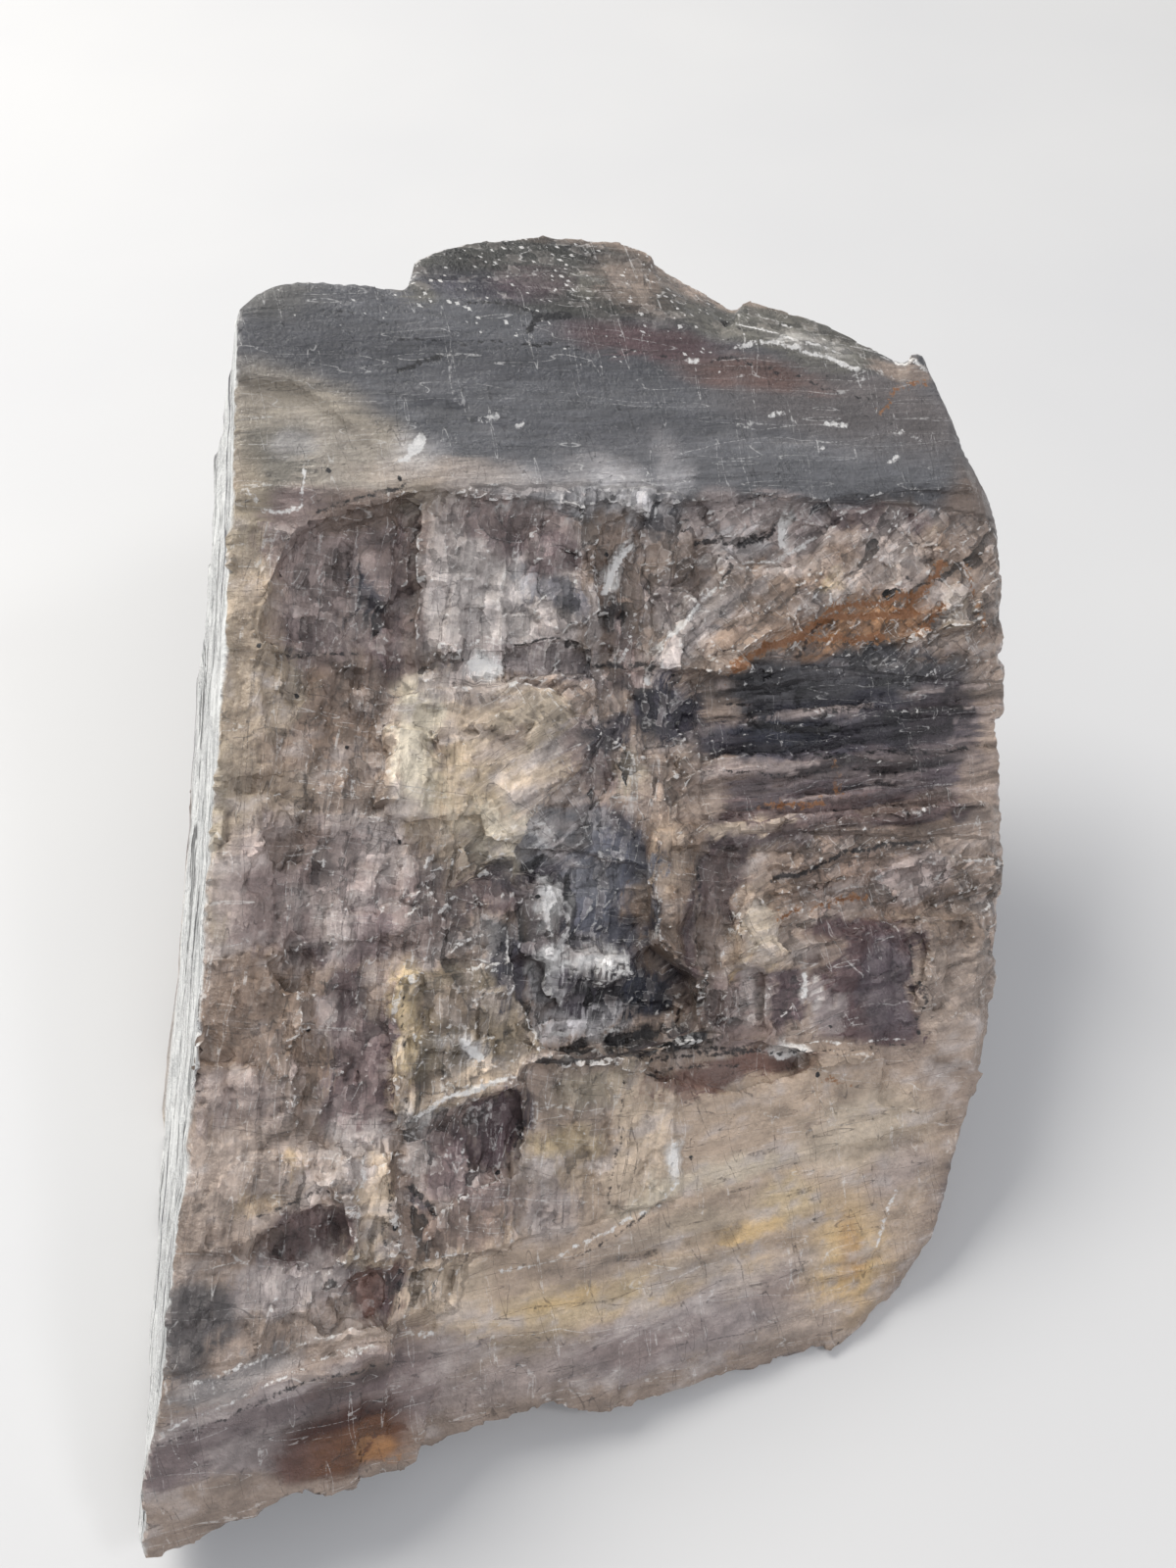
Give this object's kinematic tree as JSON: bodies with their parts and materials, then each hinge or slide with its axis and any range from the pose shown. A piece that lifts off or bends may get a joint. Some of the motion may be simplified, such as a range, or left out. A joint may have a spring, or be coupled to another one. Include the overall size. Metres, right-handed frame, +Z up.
{
  "type": "rough black moonstone",
  "caption": "Rough fragment of dark feldspar with a broad stepped cleavage face, ragged rims and a flat facet it rests on.",
  "frame": {"origin": "on the ground under the middle of the bounding box, level with the flat facet that the stone rests on", "axes": "+Z up, +X to the right and +Y away from the viewer as in the picture; the broad stepped face looks up and towards -Y"},
  "size_m": [0.0726, 0.0882, 0.0563],
  "materials": {
    "dark_feldspar": "rough broken cleavage, satin to glassy on the flat cleavage faces, slightly translucent"
  },
  "bodies": {
    "root": {"moonstone": "dark_feldspar"}
  },
  "joints": []
}
